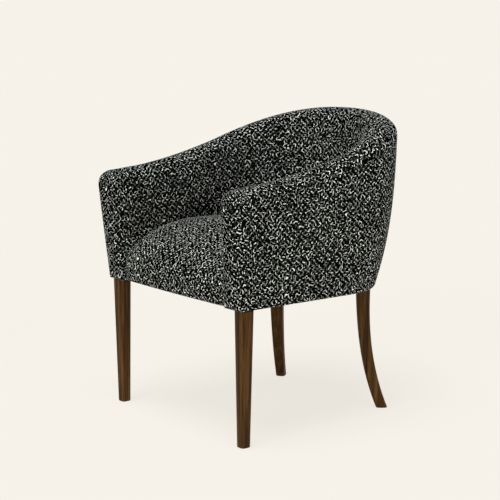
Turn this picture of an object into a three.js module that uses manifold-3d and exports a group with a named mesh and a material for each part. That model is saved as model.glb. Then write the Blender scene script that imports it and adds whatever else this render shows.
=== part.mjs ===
// Upholstered tub chair on four walnut legs. Millimetres, +Z up, the sitter faces -Y.
// The build line Y = 0 runs through the front feet, and the whole chair is centred at the end.
import * as THREE from "three";
import { mergeVertices } from "three/addons/utils/BufferGeometryUtils.js";
import Module from "manifold-3d";

const wasm = await Module();
wasm.setup();

// Outer shape of the tub
const legHeight = 336; // floor to the underside of the upholstery
const armRise = 289.6; // underside to the top of the arm at its front
const crestRise = 154.4; // arm front to the crest at the middle of the back
const crestSlopeShare = 0.16; // part of that rise which climbs at a steady rate
const crestEaseShare = 0.53; // how much of an S-curve the rest of the rise follows
const tubHalfWidth = 285.9; // at the underside
const sideFlare = 29.1; // each side leans out by this much at the crest level
const sideFlareShare = 1.49; // how early the lean happens, as a power
const armLength = 323.5; // front feet to the start of the bow
const bowDepth = 195.2; // depth of the bow at the underside
const backLean = 79; // the back leans out by this much at the crest
const backLeanShare = 3.54; // how early the lean happens, as a power
const bowRoundShare = 2.22; // 2 is an ellipse, more is squarer
const frontLip = 25.7; // arm front ahead of the front feet, at the underside
const frontRake = 21.2; // the same face reaches this much further at the arm top

// Walls of the tub
const armThickness = 78;
const armTuck = 11; // the arm is this much thinner at the underside
const armTuckShare = 6; // how fast that tuck fades upwards, as a power
const backThicknessLow = 79;
const backThicknessHigh = 84;
const lumbarSwell = 20; // extra stuffing in the small of the back
const lumbarPlaceShare = 0.63; // where the swell is fullest, as a power
const rollHeight = 28.8; // height of the round over the top of the wall
const edgeRound = 12; // bottom edge of the upholstery

// Covers and clearances
const clearance = 0.3;
const softClearance = 1.2; // between the seat and the tub round it
const coverThickness = 2.4;
const hemWidth = 20; // cover turned in under the frame
const padDepth = 10.4; // stuffing of the arm front, at the underside
const padEdge = 12; // round of the pad's edges
const padTopRound = 22; // round of the arm's top corner
const padCrown = 2.5;
const padCrownShare = 0.5; // size of the crowned field in the pad's face

// Frame
const shellThickness = 9;
const shellDrop = 6; // shell's top edge below the roll
const railThickness = 28;
const railHeight = 58;
const frontRailThickness = 25;
const frontRailSetback = 19; // seat front face to the front rail
const boardThickness = 6;
const postDepth = 45;
const topRailThickness = 20;
const topRailHeight = 30;
const topRailDrop = 10;
const blockLength = 62;
const blockHeight = 45;
const dustThickness = 1;

// Webbing
const webWidth = 50;
const webThickness = 1.6;
const webCountAlong = 5;
const webCountAcross = 4;
const lengthwisePitch = 78;
const crosswisePitch = 95;
const crosswiseSetback = 66.7; // front rail to the middle of the first strap
const webLanding = 9; // strap laid on the front rail

// Seat
const seatRise = 148; // underside to the seat where it meets the arms
const seatCrown = 21;
const seatCrownShare = 2.4;
const seatBackDip = 7;
const seatFrontLip = 18; // seat front ahead of the front feet, beside the arms
const seatFrontBow = 4;
const waterfallLength = 185;
const waterfallRise = 80;
const waterfallShare = 1.6;

// Legs
const frontLegInset = 21.2; // side of the tub to the middle of the leg
const frontLegToeIn = 2.7; // the foot stands in from there by this much
const frontLegTopHalf = 19.8;
const frontLegFootHalf = 13.7;
const frontLegCorner = 7.7;
const rearPlaceShare = 0.5503; // 0 is the start of the bow, 1 the middle of the back
const rearStandOff = 3; // middle of the leg outside the middle of the rail
const rearHeadingShare = 0.403; // way the leg sweeps: 0 is straight back, 1 sideways
const rearSweep = 53.7; // the foot stands out by this much
const sweepShare = 2.53; // the sabre curve, as a power
const rearTopHalfDeep = 18.7;
const rearFootHalfDeep = 14.9;
const rearDeepTaperShare = 3;
const rearTopHalfAcross = 19.8;
const rearFootHalfAcross = 12.7;
const rearLegCorner = 5.9;
const footChamfer = 3;

// Fittings
const boltRadius = 4;
const boltInLeg = 36;
const boltInRail = 42;
const boltTaper = 9;
const boltTipRadius = 1.4;
const boltBevel = 0.8;
const frontBoltBack = 6;
const glideRadius = 9;
const glideThickness = 3;
const glideEdge = 0.8;
const shankRadius = 1.5;
const shankLength = 16;
const shankTip = 3;

// Facets
const armSteps = 5;
const bowSteps = 26;
const wallSteps = 4;
const rollSteps = 8;
const edgeSteps = 2;
const padSteps = 4;
const cornerSteps = 3;
const sabreSteps = 12;
const seatSteps = 14;
const waterfallSteps = 7;
const seatTopSteps = 3;
const turnedSides = 16;
const outwardShare = 0.001; // weight of the outward place of a point against its height

// Levels and layers that several pieces share
const armTop = legHeight + armRise;
const crestTop = armTop + crestRise;
const frontAtArmTop = -(frontLip + frontRake);
const backAtCrest = armLength + bowDepth + backLean;
const padBack = -(frontLip - padDepth);
const coverInset = coverThickness + clearance;
const shellInner = coverInset + shellThickness;
const railOuter = shellInner + clearance;
const railInner = railOuter + railThickness;
const railBottom = legHeight + coverInset;
const railTop = railBottom + railHeight;
const panelBottom = legHeight + edgeRound;
const webLow = railTop + clearance + webThickness / 2;
const webHigh = webLow + webThickness + clearance;
const foamBase = webHigh + webThickness / 2 + clearance;
const boardFront = padBack;
const frameFront = boardFront + boardThickness + clearance;
const postBack = frameFront + postDepth;
const frontRailFront = frontRailSetback - frontLip;
const seatSide = legHeight + seatRise;

const finishes = {
  fabric: { color: 0x3f413d, roughness: 0.95, metalness: 0 },
  walnut: { color: 0x5a3d26, roughness: 0.45, metalness: 0 },
  beech: { color: 0xc8a678, roughness: 0.7, metalness: 0 },
  plywood: { color: 0xc4a06c, roughness: 0.7, metalness: 0 },
  foam: { color: 0xe6d9ae, roughness: 1, metalness: 0 },
  webbing: { color: 0x35332f, roughness: 0.9, metalness: 0 },
  dustCloth: { color: 0x17171a, roughness: 1, metalness: 0 },
  steel: { color: 0xb4b4b0, roughness: 0.35, metalness: 1 },
  nylon: { color: 0x2a2724, roughness: 0.6, metalness: 0 },
};

const chair = new THREE.Group();

function addPiece(name, geometry, finish) {
  const mesh = new THREE.Mesh(geometry, new THREE.MeshStandardMaterial(finishes[finish]));
  mesh.name = name;
  chair.add(mesh);
}

function mix(from, to, share) {
  return from + (to - from) * share;
}

function spread(from, to, steps) {
  return Array.from({ length: steps + 1 }, (_, step) => mix(from, to, step / steps));
}

// Solids from rings of points, and cuts between solids

function flatten(ring) {
  const size = new THREE.Box3().setFromPoints(ring).getSize(new THREE.Vector3());
  const axes = ["x", "y", "z"].sort((a, b) => size[b] - size[a]);
  return ring.map((point) => new THREE.Vector2(point[axes[0]], point[axes[1]]));
}

function capFaces(ring, first, alongRing) {
  const flat = flatten(ring);
  const turn = Math.sign(THREE.ShapeUtils.area(flat));
  return THREE.ShapeUtils.triangulateShape(flat, []).flatMap(([a, b, c]) => {
    const faceTurn = Math.sign(THREE.ShapeUtils.area([flat[a], flat[b], flat[c]]));
    const same = faceTurn === turn;
    const face = same === alongRing ? [a, b, c] : [a, c, b];
    return face.map((index) => first + index);
  });
}

function signedVolume(points, faces) {
  let volume = 0;
  for (let i = 0; i < faces.length; i += 3) {
    const [a, b, c] = [points[faces[i]], points[faces[i + 1]], points[faces[i + 2]]];
    volume += a.dot(b.clone().cross(c));
  }
  return volume;
}

// Orders points from low to high, and at one height from the outside inwards.
function rank(point) {
  return point.z - outwardShare * Math.hypot(point.x, point.y);
}

// A closed solid through rings that all have the same number of points, with flat ends.
// Each patch is split along the diagonal that rises, so that layers split alike.
function loft(rings) {
  const count = rings[0].length;
  const points = rings.flat();
  const faces = capFaces(rings[0], 0, false);
  for (let ring = 0; ring + 1 < rings.length; ring += 1) {
    for (let i = 0; i < count; i += 1) {
      const next = (i + 1) % count;
      const [a, b] = [ring * count + i, ring * count + next];
      const [c, d] = [b + count, a + count];
      const rising = rank(points[a]) <= rank(points[b]);
      faces.push(...(rising ? [a, b, c, a, c, d] : [a, b, d, b, c, d]));
    }
  }
  faces.push(...capFaces(rings.at(-1), (rings.length - 1) * count, true));
  if (signedVolume(points, faces) < 0) {
    faces.reverse();
  }
  const geometry = new THREE.BufferGeometry().setFromPoints(points);
  geometry.setIndex(faces);
  geometry.computeVertexNormals();
  return geometry;
}

function toSolid(geometry) {
  const plain = geometry.clone();
  plain.deleteAttribute("normal");
  plain.deleteAttribute("uv");
  const merged = mergeVertices(plain);
  const vertProperties = merged.attributes.position.array;
  const triVerts = new Uint32Array(merged.index.array);
  return new wasm.Manifold(new wasm.Mesh({ numProp: 3, vertProperties, triVerts }));
}

function fromSolid(solid) {
  const { numProp, vertProperties, triVerts } = solid.getMesh();
  const geometry = new THREE.BufferGeometry();
  geometry.setAttribute("position", new THREE.BufferAttribute(vertProperties, numProp));
  geometry.setIndex(new THREE.BufferAttribute(triVerts, 1));
  geometry.computeVertexNormals();
  return geometry;
}

function cut(geometry, tools) {
  return fromSolid(tools.reduce((body, tool) => body.subtract(toSolid(tool)), toSolid(geometry)));
}

// A flat outline of [x, z] points carried along Y.
function carryAlongY(outline, fromY, toY) {
  return loft([fromY, toY].map((y) => outline.map(([x, z]) => new THREE.Vector3(x, y, z))));
}

// A flat outline of [y, z] points carried along X.
function carryAlongX(outline, fromX, toX) {
  return loft([fromX, toX].map((x) => outline.map(([y, z]) => new THREE.Vector3(x, y, z))));
}

// A flat outline of [x, y] points carried up Z.
function carryUp(outline, fromZ, toZ) {
  return loft([fromZ, toZ].map((z) => outline.map(([x, y]) => new THREE.Vector3(x, y, z))));
}

// A round piece about an upright axis, from a profile of [radius, height] points.
function turn(profile, x, y) {
  const points = profile.map(([radius, height]) => new THREE.Vector2(radius, height));
  const geometry = new THREE.LatheGeometry(points, turnedSides);
  geometry.rotateX(Math.PI / 2);
  geometry.translate(x, y, 0);
  return geometry;
}

// Outline of the tub at any level

function climb(level) {
  return THREE.MathUtils.clamp((level - legHeight) / (crestTop - legHeight), 0, 1);
}

function halfWidthAt(level) {
  return tubHalfWidth + sideFlare * (1 - (1 - climb(level)) ** sideFlareShare);
}

function bowAt(level) {
  return bowDepth + backLean * (1 - (1 - climb(level)) ** backLeanShare);
}

function armWallAt(level) {
  return armThickness - armTuck * (1 - climb(level)) ** armTuckShare;
}

function backWallAt(level) {
  const plain = mix(backThicknessLow, backThicknessHigh, climb(level));
  return plain + lumbarSwell * Math.sin(Math.PI * climb(level) ** lumbarPlaceShare);
}

// Stations run from the sitter's left arm front, round the back, to the right arm front.
function tubStations(straightSteps, roundSteps) {
  const arm = Array.from({ length: straightSteps }, (_, step) => step / straightSteps);
  const left = arm.map((share) => ({ side: 1, share }));
  const bow = spread(0, Math.PI, roundSteps).map((angle) => ({ angle }));
  const right = arm.map((share) => ({ side: -1, share })).reverse();
  return [...left, ...bow, ...right];
}

function planPoint(station, halfWidth, bow, front) {
  if (station.angle === undefined) {
    return [station.side * halfWidth, station.share > 0 ? armLength * station.share : front];
  }
  const across = Math.cos(station.angle);
  const along = Math.max(Math.sin(station.angle), 0);
  const power = 2 / bowRoundShare;
  const x = halfWidth * Math.sign(across) * Math.abs(across) ** power;
  return [x, armLength + bow * along ** power];
}

// Where the wall's curved outline lies at one level: across runs from 0 at the outer face
// to 1 at the inner face, and inset draws both faces into the wall.
function curvePoint(station, front, level, across, inset) {
  const side = inset + (armWallAt(level) - 2 * inset) * across;
  const back = inset + (backWallAt(level) - 2 * inset) * across;
  return planPoint(station, halfWidthAt(level) - side, bowAt(level) - back, front);
}

// The wall bends only at these levels, so that all its layers lie flat against each other.
function coursesAt(station, front) {
  const spring = springAt(station, front);
  const notchTop = spring - topRailDrop + clearance;
  const notchBottom = notchTop - topRailHeight - 2 * clearance;
  return [legHeight, panelBottom, ...spread(foamBase, notchBottom, wallSteps), notchTop, spring];
}

function coursesBetween(station, front, low, high) {
  const inside = coursesAt(station, front).filter((level) => level > low && level < high);
  return [low, ...inside, high];
}

// A point in the wall, on the straight line between the courses below and above its level.
function wallPoint(station, front, level, height, across, inset) {
  const courses = coursesAt(station, front);
  const above = courses.findIndex((course, index) => index > 0 && course >= level);
  const upper = above < 0 ? courses.length - 1 : above;
  const share = (level - courses[upper - 1]) / (courses[upper] - courses[upper - 1]);
  const low = curvePoint(station, front, courses[upper - 1], across, inset);
  const high = curvePoint(station, front, courses[upper], across, inset);
  return new THREE.Vector3(mix(low[0], high[0], share), mix(low[1], high[1], share), height);
}

function ease(share) {
  const value = crestEaseShare * share;
  return value * value * (3 - 2 * value);
}

// Height of the top of the wall, which sweeps up from the arm front to the crest.
function topAt(y) {
  const share = Math.max((y - frontAtArmTop) / (backAtCrest - frontAtArmTop), 0);
  const eased = ease(Math.max((y + frontLip) / (backAtCrest + frontLip), 0)) / ease(1);
  return armTop + crestRise * mix(eased, share, crestSlopeShare);
}

// Where the round over the wall begins. Over the arm's first stretch its line is straight,
// so that every layer keeps the same line wherever it starts.
function springAt(station, front) {
  const [, y] = planPoint(station, halfWidthAt(crestTop), bowAt(crestTop), front);
  const firstStep = armLength / armSteps;
  const along = THREE.MathUtils.clamp((y - padBack) / (firstStep - padBack), 0, 1);
  const top = y < firstStep ? mix(topAt(padBack), topAt(firstStep), along) : topAt(y);
  return top - rollHeight;
}

// The round over the top of the wall, from its outer face to its inner face.
function rollPoints(station, front, inset, lift) {
  const spring = springAt(station, front);
  return spread(0, Math.PI, rollSteps).map((angle) => {
    const across = (1 - Math.cos(angle)) / 2;
    const height = spring + lift + (rollHeight - inset - lift) * Math.sin(angle);
    return wallPoint(station, front, spring, height, across, inset);
  });
}

function facePoints(station, front, levels, across, inset) {
  return levels.map((level) => wallPoint(station, front, level, level, across, inset));
}

// Covers of the tub

function outerSkin(station, front, inset) {
  const radius = edgeRound - inset;
  const start = panelBottom;
  const hem = wallPoint(station, front, start, legHeight + inset, 0, hemWidth);
  const corner = spread(0, Math.PI / 2, edgeSteps).map((angle) => {
    const depth = edgeRound - radius * Math.sin(angle);
    const height = start - radius * Math.cos(angle);
    return wallPoint(station, front, start, height, 0, depth);
  });
  const levels = coursesBetween(station, front, start, springAt(station, front)).slice(1);
  return [hem, ...corner, ...facePoints(station, front, levels, 0, inset)];
}

function outerCover() {
  const rings = tubStations(armSteps, bowSteps).map((station) => [
    ...outerSkin(station, padBack, 0),
    ...outerSkin(station, padBack, coverThickness).reverse(),
  ]);
  return loft(rings);
}

function innerSkin(station, front, inset) {
  const roll = rollPoints(station, front, inset, clearance);
  const levels = coursesBetween(station, front, foamBase, springAt(station, front));
  return [...roll, ...facePoints(station, front, levels.reverse().slice(1), 1, inset)];
}

function innerCover() {
  const rings = tubStations(armSteps, bowSteps).map((station) => [
    ...innerSkin(station, padBack, 0),
    ...innerSkin(station, padBack, coverThickness).reverse(),
  ]);
  return loft(rings);
}

// Stuffing of the tub, stepped round the shell and the top rail

function foamRing(station) {
  const spring = springAt(station, frameFront);
  const at = (inset, level) => wallPoint(station, frameFront, level, level, 0, inset);
  const railBack = railOuter + clearance + topRailThickness;
  const notchTop = spring - topRailDrop + clearance;
  const notchBottom = notchTop - topRailHeight - 2 * clearance;
  const shellTop = spring - shellDrop + clearance;
  const outside = [
    ...coursesBetween(station, frameFront, foamBase, notchBottom).map((level) => at(railOuter, level)),
    at(railBack, notchBottom),
    at(railBack, notchTop),
    at(railOuter, notchTop),
    at(railOuter, shellTop),
    at(coverInset, shellTop),
  ];
  const roll = rollPoints(station, frameFront, coverInset, 0);
  const levels = coursesBetween(station, frameFront, foamBase, spring).reverse().slice(1);
  return [...outside, ...roll, ...facePoints(station, frameFront, levels, 1, coverInset)];
}

function tubFoam() {
  const body = loft(tubStations(armSteps, bowSteps).map(foamRing));
  return cut(body, [frontPost(1, clearance), frontPost(-1, clearance)]);
}

// Frame of the tub

function shellRing(station) {
  const spring = springAt(station, frameFront);
  const levels = coursesBetween(station, frameFront, panelBottom, spring - shellDrop);
  return [
    ...facePoints(station, frameFront, levels, 0, coverInset),
    ...facePoints(station, frameFront, levels, 0, shellInner).reverse(),
  ];
}

function tubShell() {
  return loft(tubStations(armSteps, bowSteps).map(shellRing));
}

function topRail() {
  const front = postBack + clearance;
  const rings = tubStations(armSteps, bowSteps).map((station) => {
    const top = springAt(station, front) - topRailDrop;
    const levels = coursesBetween(station, front, top - topRailHeight, top);
    const inner = railOuter + topRailThickness;
    return [
      ...facePoints(station, front, levels, 0, railOuter),
      ...facePoints(station, front, levels, 0, inner).reverse(),
    ];
  });
  return loft(rings);
}

// Upright or lengthwise timber that follows the lean of the tub's side.
function sideTimber(side, outer, inner, levels, fromY, toY) {
  const edge = (depth) => levels.map((level) => [side * (halfWidthAt(level) - depth), level]);
  return carryAlongY([...edge(outer), ...edge(inner).reverse()], fromY, toY);
}

function frontPost(side, grow) {
  const station = { side, share: 0 };
  const top = springAt(station, frameFront) - topRailDrop + grow;
  const levels = spread(railBottom - grow, top, wallSteps);
  const [outer, inner] = [railOuter - grow, railInner + grow];
  return sideTimber(side, outer, inner, levels, frameFront - grow, postBack + grow);
}

function sideRail(side) {
  const levels = [railBottom, railTop];
  const [from, to] = [postBack + clearance, armLength - clearance];
  return sideTimber(side, railOuter, railInner, levels, from, to);
}

function backRail() {
  const rings = tubStations(0, bowSteps).map((station) => {
    const levels = coursesBetween(station, armLength, railBottom, railTop);
    return [
      ...facePoints(station, armLength, levels, 0, railOuter),
      ...facePoints(station, armLength, levels, 0, railInner).reverse(),
    ];
  });
  return loft(rings);
}

function frontRail() {
  const end = (level) => halfWidthAt(level) - railInner - clearance;
  const outline = [
    [-end(railBottom), railBottom],
    [end(railBottom), railBottom],
    [end(railTop), railTop],
    [-end(railTop), railTop],
  ];
  return carryAlongY(outline, frontRailFront, frontRailFront + frontRailThickness);
}

function armBoard(side) {
  const station = { side, share: 0 };
  const ring = armOutline(station, boardFront, panelBottom, coverInset);
  const back = ring.map((point) => point.clone().setY(point.y + boardThickness));
  return loft([ring, back]);
}

function cornerBlock(side, y, direction) {
  const x = side * (halfWidthAt(railBottom) - railInner - clearance);
  const outline = [
    [x, y],
    [x - side * blockLength, y],
    [x, y + direction * blockLength],
  ];
  return carryUp(outline, railBottom, railBottom + blockHeight);
}

// Arm fronts

// Outline of the wall's end, from the outer foot over the roll to the inner foot.
function armOutline(station, front, bottom, inset) {
  const spring = springAt(station, front);
  const levels = coursesBetween(station, front, bottom, spring).slice(0, -1);
  const face = (across) => facePoints(station, front, levels, across, inset);
  return [...face(0), ...rollPoints(station, front, inset, 0), ...face(1).reverse()];
}

function padRing(outline, side, angle, field, crown) {
  const tip = outline.reduce((high, point) => Math.max(high, point.z), legHeight);
  const draw = 1 - Math.cos(angle);
  return outline.map((point) => {
    const share = (point.z - legHeight) / (tip - legHeight);
    const middle = side * (halfWidthAt(point.z) - armWallAt(point.z) / 2);
    const half = armWallAt(point.z) / 2;
    const narrowed = (point.x - middle) * (1 - (draw * padEdge) / half) * field;
    const drawn = point.z + draw * mix(padEdge, -padTopRound, share);
    const height = mix(legHeight + (tip - legHeight) / 2, drawn, field);
    const face = -(frontLip + (frontRake * (height - legHeight)) / armRise);
    const back = padBack - clearance;
    return new THREE.Vector3(middle + narrowed, mix(back, face, Math.sin(angle)) - crown, height);
  });
}

function armPad(side) {
  const outline = armOutline({ side, share: 0 }, padBack, legHeight, 0);
  const rings = spread(0, Math.PI / 2, padSteps).map((angle) =>
    padRing(outline, side, angle, 1, 0),
  );
  const crowned = padRing(outline, side, Math.PI / 2, padCrownShare, padCrown);
  return loft([...rings, crowned]);
}

// Seat

function seatHalfWidth() {
  return halfWidthAt(foamBase) - armWallAt(foamBase) - softClearance;
}

// Reach of a bow beyond its straight sides, at a distance from the chair's middle line.
function bowReach(offset, halfWidth, bow) {
  const share = Math.min(Math.abs(offset) / halfWidth, 1);
  return bow * (1 - share ** bowRoundShare) ** (1 / bowRoundShare);
}

function seatBackAt(x, level) {
  const bow = bowAt(level) - backWallAt(level) - softClearance;
  return armLength + bowReach(x, seatHalfWidth(), bow);
}

function seatFrontAt(x) {
  const reach = x / seatHalfWidth();
  return -(seatFrontLip + seatFrontBow * (1 - reach * reach));
}

// The seat's upper line at one x, from the foot of its front edge to the back.
function seatLine(x, inset) {
  const front = seatFrontAt(x);
  const back = seatBackAt(x, seatSide);
  const reach = Math.abs(x) / seatHalfWidth();
  const crown = seatCrown * (1 - reach ** seatCrownShare);
  const low = seatSide - waterfallRise;
  const power = 2 / waterfallShare;
  const edge = spread(0, Math.PI / 2, waterfallSteps).map((angle) => {
    const run = (waterfallLength - inset) * (1 - Math.cos(angle) ** power);
    const rise = (waterfallRise - inset) * Math.sin(angle) ** power;
    return [front + inset + run, low + rise + crown * Math.sin(angle) ** 2];
  });
  const top = spread(0, 1, seatTopSteps).slice(1);
  const flat = top.map((share) => {
    const height = seatSide - inset + crown - seatBackDip * share * share;
    return [mix(front + waterfallLength, back, share), height];
  });
  return [...edge, ...flat];
}

function seatFoamRing(x) {
  const front = seatFrontAt(x) + coverInset;
  const back = seatBackAt(x, foamBase);
  const lipBack = frontRailFront - clearance;
  const outline = [
    [back, foamBase],
    [lipBack, foamBase],
    [lipBack, panelBottom],
    [front, panelBottom],
    ...seatLine(x, coverInset),
  ];
  return outline.map(([y, z]) => new THREE.Vector3(x, y, z));
}

// Places across the seat, closer together where its plan turns at the arms.
function seatPlaces() {
  const angles = spread(-Math.PI / 2, Math.PI / 2, seatSteps);
  return angles.map((angle) => seatHalfWidth() * Math.sin(angle));
}

function seatFoam() {
  return loft(seatPlaces().map(seatFoamRing));
}

function seatCoverLine(x, inset) {
  const front = seatFrontAt(x);
  const radius = edgeRound - inset;
  const corner = spread(0, Math.PI / 2, edgeSteps).map((angle) => {
    const y = front + edgeRound - radius * Math.sin(angle);
    return [y, legHeight + edgeRound - radius * Math.cos(angle)];
  });
  return [[front + edgeRound + hemWidth / 2, legHeight + inset], ...corner, ...seatLine(x, inset)];
}

function seatCover() {
  const rings = seatPlaces().map((x) => {
    const outline = [...seatCoverLine(x, 0), ...seatCoverLine(x, coverThickness).reverse()];
    return outline.map(([y, z]) => new THREE.Vector3(x, y, z));
  });
  return loft(rings);
}

// Half width and bow of the seat rails' middle line, or of a line outside it.
function railMiddle(level, outside) {
  const depth = (railOuter + railInner) / 2 - outside;
  return [halfWidthAt(level) - depth, bowAt(level) - depth];
}

// Webbing, woven over and under, and stapled to the tops of the rails

function webOutline(from, to, crossings, startsHigh) {
  const line = [[from, webLow]];
  crossings.forEach((place, index) => {
    const high = (index % 2 === 0) === startsHigh;
    const height = high ? webHigh : webLow;
    line.push([place - webWidth / 2, height], [place + webWidth / 2, height]);
  });
  line.push([to, webLow]);
  const above = line.map(([place, height]) => [place, height + webThickness / 2]);
  const below = line.map(([place, height]) => [place, height - webThickness / 2]);
  return [...above, ...below.reverse()];
}

function lengthwisePlaces() {
  const middle = (webCountAlong - 1) / 2;
  return Array.from({ length: webCountAlong }, (_, index) => (index - middle) * lengthwisePitch);
}

function crosswisePlaces() {
  const first = frontRailFront + frontRailThickness + crosswiseSetback;
  return Array.from({ length: webCountAcross }, (_, index) => first + index * crosswisePitch);
}

function lengthwiseWeb(x, startsHigh) {
  const [halfWidth, bow] = railMiddle(railTop, 0);
  const back = armLength + bowReach(x, halfWidth, bow);
  const front = frontRailFront + frontRailThickness - webLanding;
  const outline = webOutline(front, back, crosswisePlaces(), startsHigh);
  return carryAlongX(outline, x - webWidth / 2, x + webWidth / 2);
}

function crosswiseWeb(y, startsHigh) {
  const [halfWidth, bow] = railMiddle(railTop, 0);
  const beyond = Math.max(y + webWidth / 2 - armLength, 0) / bow;
  const reach = halfWidth * (1 - beyond ** bowRoundShare) ** (1 / bowRoundShare);
  const outline = webOutline(-reach, reach, lengthwisePlaces(), startsHigh);
  return carryAlongY(outline, y - webWidth / 2, y + webWidth / 2);
}

// Legs with their bolts and glides

function roundedSection(halfAcross, halfDeep, corner) {
  const centres = [
    [1, 1],
    [-1, 1],
    [-1, -1],
    [1, -1],
  ];
  return centres.flatMap(([sideX, sideY], quarter) =>
    spread(0, Math.PI / 2, cornerSteps).map((angle) => {
      const heading = angle + (quarter * Math.PI) / 2;
      const x = sideX * (halfAcross - corner) + corner * Math.cos(heading);
      return [x, sideY * (halfDeep - corner) + corner * Math.sin(heading)];
    }),
  );
}

// A leg through sections set on a centre line, with a chamfer round its foot.
function legBody(levels, sectionAt) {
  const foot = glideThickness + clearance;
  const rings = levels.map((level) => sectionAt(level, 0));
  return loft([sectionAt(foot, footChamfer), ...rings]);
}

function legLevels(steps) {
  return spread(glideThickness + clearance + footChamfer, legHeight - clearance, steps);
}

function frontLegSection(side, level, draw) {
  const share = level / legHeight;
  const half = mix(frontLegFootHalf, frontLegTopHalf, share) - draw;
  const x = side * (tubHalfWidth - frontLegInset - frontLegToeIn * (1 - share));
  const corner = frontLegCorner * mix(frontLegFootHalf / frontLegTopHalf, 1, share);
  const section = roundedSection(half, half, Math.min(corner, half));
  return section.map(([dx, dy]) => new THREE.Vector3(x + dx, dy, level));
}

// Where the bow's rail is above a rear leg, or a line outside the rail's middle line.
function rearPlace(outside) {
  const station = { angle: (rearPlaceShare * Math.PI) / 2 };
  return planPoint(station, ...railMiddle(railBottom, outside));
}

function rearLegMiddle(sweep) {
  const [x, y] = rearPlace(rearStandOff);
  const heading = (rearHeadingShare * Math.PI) / 2;
  const reach = rearSweep * sweep;
  return [x + reach * Math.sin(heading), y + reach * Math.cos(heading)];
}

function rearLegSection(side, level, draw) {
  const share = level / legHeight;
  const sweep = (1 - share) ** sweepShare;
  const [x, y] = rearLegMiddle(sweep);
  const heading = (rearHeadingShare * Math.PI) / 2;
  const deep = mix(rearFootHalfDeep, rearTopHalfDeep, share ** rearDeepTaperShare) - draw;
  const across = mix(rearFootHalfAcross, rearTopHalfAcross, share) - draw;
  const corner = Math.min(rearLegCorner, deep, across);
  return roundedSection(across, deep, corner).map(([dx, dy]) => {
    const turnedX = dx * Math.cos(heading) + dy * Math.sin(heading);
    const turnedY = dy * Math.cos(heading) - dx * Math.sin(heading);
    return new THREE.Vector3(side * (x + turnedX), y + turnedY, level);
  });
}

function frontBoltPlace(side) {
  const [halfWidth] = railMiddle(railBottom, 0);
  return [side * halfWidth, frontBoltBack];
}

function rearBoltPlace(side) {
  const [x, y] = rearPlace(0);
  return [side * x, y];
}

function hangerBolt([x, y], grow) {
  const [low, high] = [legHeight - boltInLeg - grow, legHeight + boltInRail + grow];
  const radius = boltRadius + grow;
  const profile = [
    [0, low],
    [boltTipRadius + grow, low],
    [radius, low + boltTaper],
    [radius, high - boltBevel],
    [radius - boltBevel, high],
    [0, high],
  ];
  return turn(profile, x, y);
}

function footGlide(x, y, grow) {
  const tip = glideThickness + shankLength + grow;
  const shank = shankRadius + grow;
  const disc = [
    [0, 0],
    [glideRadius - glideEdge, 0],
    [glideRadius, glideEdge],
    [glideRadius, glideThickness],
  ];
  const nail = [
    [shank, glideThickness],
    [shank, tip - shankTip],
    [0, tip],
  ];
  return turn([...disc, ...nail], x, y);
}

function addLegs(side, name) {
  const frontBolt = frontBoltPlace(side);
  const frontFoot = [side * (tubHalfWidth - frontLegInset - frontLegToeIn), 0];
  const frontLeg = legBody(legLevels(2), (level, draw) => frontLegSection(side, level, draw));
  const frontCuts = [hangerBolt(frontBolt, clearance), footGlide(...frontFoot, clearance)];
  addPiece("front_leg_" + name, cut(frontLeg, frontCuts), "walnut");
  addPiece("front_leg_bolt_" + name, hangerBolt(frontBolt, 0), "steel");
  addPiece("front_glide_" + name, footGlide(...frontFoot, 0), "nylon");

  const rearBolt = rearBoltPlace(side);
  const [footX, footY] = rearLegMiddle(1);
  const rearFoot = [side * footX, footY];
  const rearLeg = legBody(legLevels(sabreSteps), (level, draw) => rearLegSection(side, level, draw));
  const rearCuts = [hangerBolt(rearBolt, clearance), footGlide(...rearFoot, clearance)];
  addPiece("rear_leg_" + name, cut(rearLeg, rearCuts), "walnut");
  addPiece("rear_leg_bolt_" + name, hangerBolt(rearBolt, 0), "steel");
  addPiece("rear_glide_" + name, footGlide(...rearFoot, 0), "nylon");
}

function boltPockets() {
  return [1, -1].flatMap((side) => [
    hangerBolt(frontBoltPlace(side), clearance),
    hangerBolt(rearBoltPlace(side), clearance),
  ]);
}

// Dust cloth tacked under the frame, with a hole for each bolt.
function dustCover() {
  const depth = hemWidth + clearance;
  const front = seatFrontAt(0) + edgeRound + hemWidth / 2 + seatFrontBow + clearance;
  const [halfWidth, bow] = [halfWidthAt(legHeight) - depth, bowAt(legHeight) - depth];
  const outline = tubStations(1, bowSteps).map((station) =>
    planPoint(station, halfWidth, bow, front),
  );
  const top = railBottom - clearance;
  return cut(carryUp(outline, top - dustThickness, top), boltPockets());
}

const sides = [
  { side: 1, name: "left" },
  { side: -1, name: "right" },
];

for (const { side, name } of sides) {
  const bolt = hangerBolt(frontBoltPlace(side), clearance);
  addLegs(side, name);
  addPiece("arm_post_" + name, cut(frontPost(side, 0), [bolt]), "beech");
  addPiece("side_rail_" + name, sideRail(side), "beech");
  addPiece("arm_facing_board_" + name, armBoard(side), "plywood");
  addPiece("arm_front_pad_" + name, armPad(side), "fabric");
  const blockFront = frontRailFront + frontRailThickness + clearance;
  addPiece("front_corner_block_" + name, cornerBlock(side, blockFront, 1), "beech");
}
addPiece("front_rail", frontRail(), "beech");
addPiece("back_rail", cut(backRail(), boltPockets()), "beech");
addPiece("tub_shell", tubShell(), "plywood");
addPiece("top_rail", topRail(), "beech");
addPiece("tub_foam", tubFoam(), "foam");
addPiece("outer_cover", outerCover(), "fabric");
addPiece("inner_cover", innerCover(), "fabric");
addPiece("seat_foam", seatFoam(), "foam");
addPiece("seat_cover", seatCover(), "fabric");
addPiece("dust_cover", dustCover(), "dustCloth");

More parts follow.
